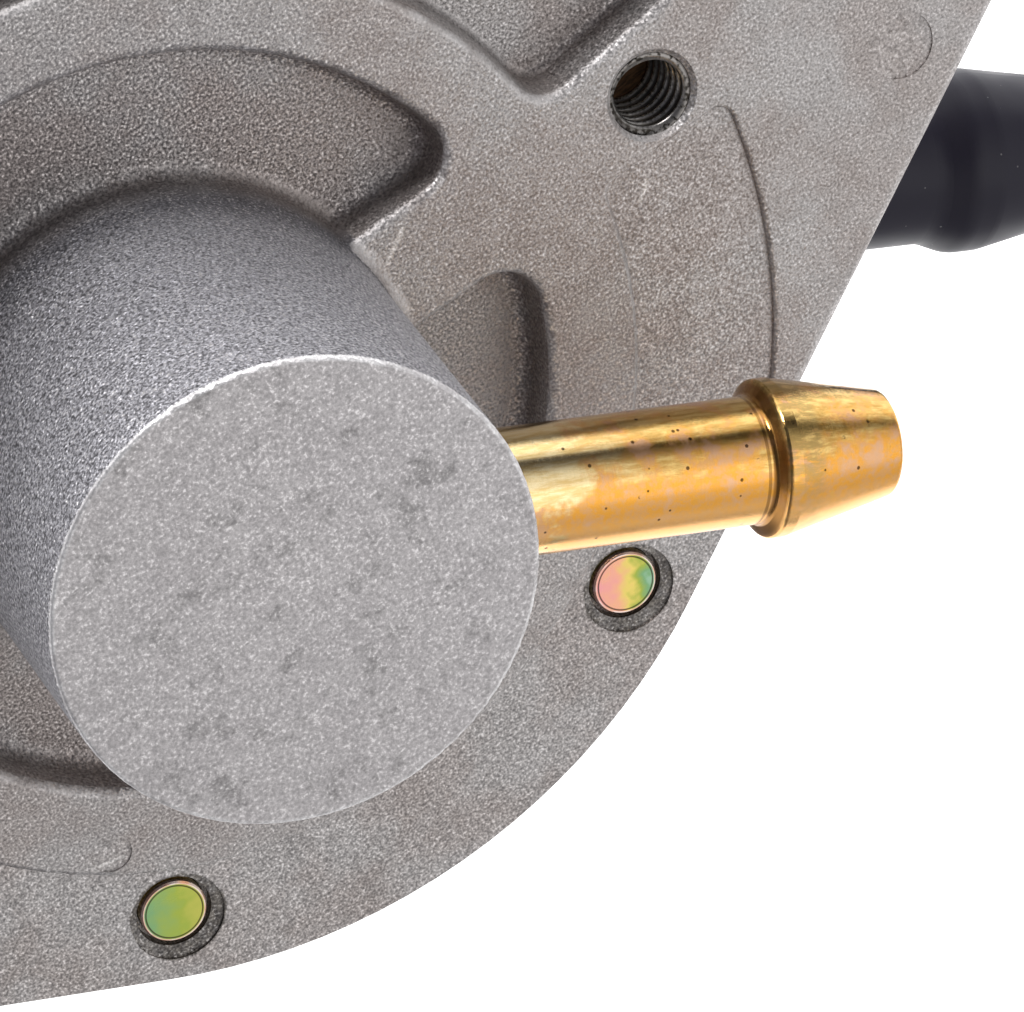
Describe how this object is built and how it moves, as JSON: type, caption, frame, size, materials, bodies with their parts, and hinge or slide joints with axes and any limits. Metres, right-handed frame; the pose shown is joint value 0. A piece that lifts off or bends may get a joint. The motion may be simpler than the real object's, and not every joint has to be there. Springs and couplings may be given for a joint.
{
  "type": "fuel pump",
  "caption": "Cast aluminium diaphragm fuel pump with a tall outlet boss, brass hose nipples, two fixing ears and a pulse chamber.",
  "frame": {"origin": "centre of the flat back of the rear cover, on the axis of the front boss", "axes": "+Z along the boss axis towards its top, +X through the right fixing ear"},
  "size_m": [0.1412, 0.086, 0.0679],
  "materials": {
    "cast_aluminium": "die cast and bead blasted, warm grey",
    "brass": "turned, golden",
    "black_vinyl": "dipped, glossy",
    "gasket_fibre": "pressed fibre sheet",
    "valve_rubber": "moulded",
    "diaphragm_rubber": "rubbered fabric",
    "spring_steel": "drawn wire",
    "pressed_steel": "pressed and zinc plated",
    "yellow_zinc": "yellow zinc plated"
  },
  "bodies": {
    "housing": {"front_cover": "cast_aluminium", "valve_body": "cast_aluminium", "rear_cover": "cast_aluminium", "outlet_nipple": "brass", "inlet_nipple": "brass", "pulse_nipple": "brass", "inlet_valve_seat": "brass", "outlet_valve_seat": "brass", "inlet_cap": "black_vinyl", "cover_gasket": "gasket_fibre", "rear_gasket": "gasket_fibre", "diaphragm": "diaphragm_rubber", "inlet_valve_spring": "spring_steel", "outlet_valve_spring": "spring_steel", "diaphragm_spring": "spring_steel", "inlet_valve_cage": "pressed_steel", "outlet_valve_cage": "pressed_steel", "clamp_screws": "yellow_zinc", "spring_washers": "yellow_zinc"},
    "diaphragm_core": {"fuel_side_plate": "pressed_steel", "pulse_side_plate": "pressed_steel", "diaphragm_rivet": "pressed_steel"},
    "inlet_flap": {"inlet_valve_disc": "valve_rubber"},
    "outlet_flap": {"outlet_valve_disc": "valve_rubber"}
  },
  "joints": [
    {"name": "diaphragm_stroke", "type": "slide", "parent": "housing", "child": "diaphragm_core", "axis": [0, 0, 1], "range_m": [-0.0015, 0.0015], "stiffness_N_per_m": 2000, "deforming": ["diaphragm", "diaphragm_spring"]},
    {"name": "inlet_valve_lift", "type": "slide", "parent": "housing", "child": "inlet_flap", "axis": [0, 0, -1], "range_m": [0, 0.0008], "stiffness_N_per_m": 40, "springref_m": -0.001, "deforming": ["inlet_valve_spring"]},
    {"name": "outlet_valve_lift", "type": "slide", "parent": "housing", "child": "outlet_flap", "axis": [0, 0, 1], "range_m": [0, 0.0008], "stiffness_N_per_m": 40, "springref_m": -0.001, "deforming": ["outlet_valve_spring"]}
  ]
}
